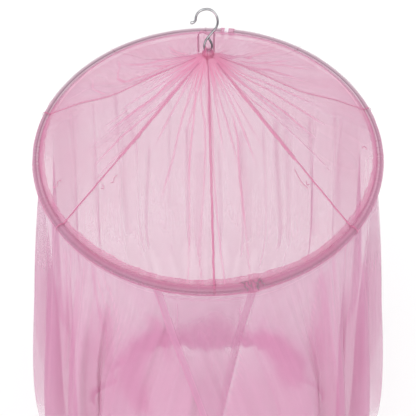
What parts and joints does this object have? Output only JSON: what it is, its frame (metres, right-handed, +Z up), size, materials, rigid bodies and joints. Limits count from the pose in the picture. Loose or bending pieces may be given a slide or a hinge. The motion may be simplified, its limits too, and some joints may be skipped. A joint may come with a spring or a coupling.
{
  "type": "mosquito net canopy with hoop and hook",
  "caption": "Sheer pink mosquito net canopy: a gathered net crown under a wire hook, a round hoop in a casing, and a long flared net wall with a lapped front entrance.",
  "frame": {"origin": "inside of the hook's crown, where the canopy hangs, on the hoop's axis", "axes": "+Z up, along the hoop's axis; -Y is the front, with the entrance; +X to the right of someone facing the entrance"},
  "size_m": [1.3758, 1.3151, 2.37],
  "materials": {
    "crown_net": "sheer pink polyester net",
    "wall_net": "sheer pink polyester net, gathered",
    "casing_net": "pink net strip folded round the hoop",
    "seam_binding": "overlocked pink seam",
    "seam_tape": "ragged pink seam allowance",
    "gather_binding": "wound pink thread and net",
    "loop_tape": "pink tape",
    "hook_wire": "bright plated wire",
    "hoop_tube": "satin tube",
    "connector": "white plastic"
  },
  "bodies": {
    "root": {"crown_gore_1": "crown_net", "crown_gore_2": "crown_net", "crown_gore_3": "crown_net", "crown_gore_4": "crown_net", "crown_gore_5": "crown_net", "crown_gore_6": "crown_net", "crown_gore_7": "crown_net", "crown_gore_8": "crown_net", "wall_panel_1": "wall_net", "wall_panel_2": "wall_net", "wall_panel_3": "wall_net", "wall_panel_4": "wall_net", "wall_panel_5": "wall_net", "wall_panel_6": "wall_net", "wall_panel_7": "wall_net", "wall_panel_8": "wall_net", "seam_binding_1": "seam_binding", "seam_binding_2": "seam_binding", "seam_binding_3": "seam_binding", "seam_binding_4": "seam_binding", "seam_binding_5": "seam_binding", "seam_binding_6": "seam_binding", "seam_binding_7": "seam_binding", "seam_binding_8": "seam_binding", "crown_seam_tape": "seam_tape", "hoop_casing": "casing_net", "gather_binding": "gather_binding", "hanging_loop": "loop_tape", "hook": "hook_wire", "hoop": "hoop_tube", "hoop_connector": "connector"}
  },
  "joints": []
}
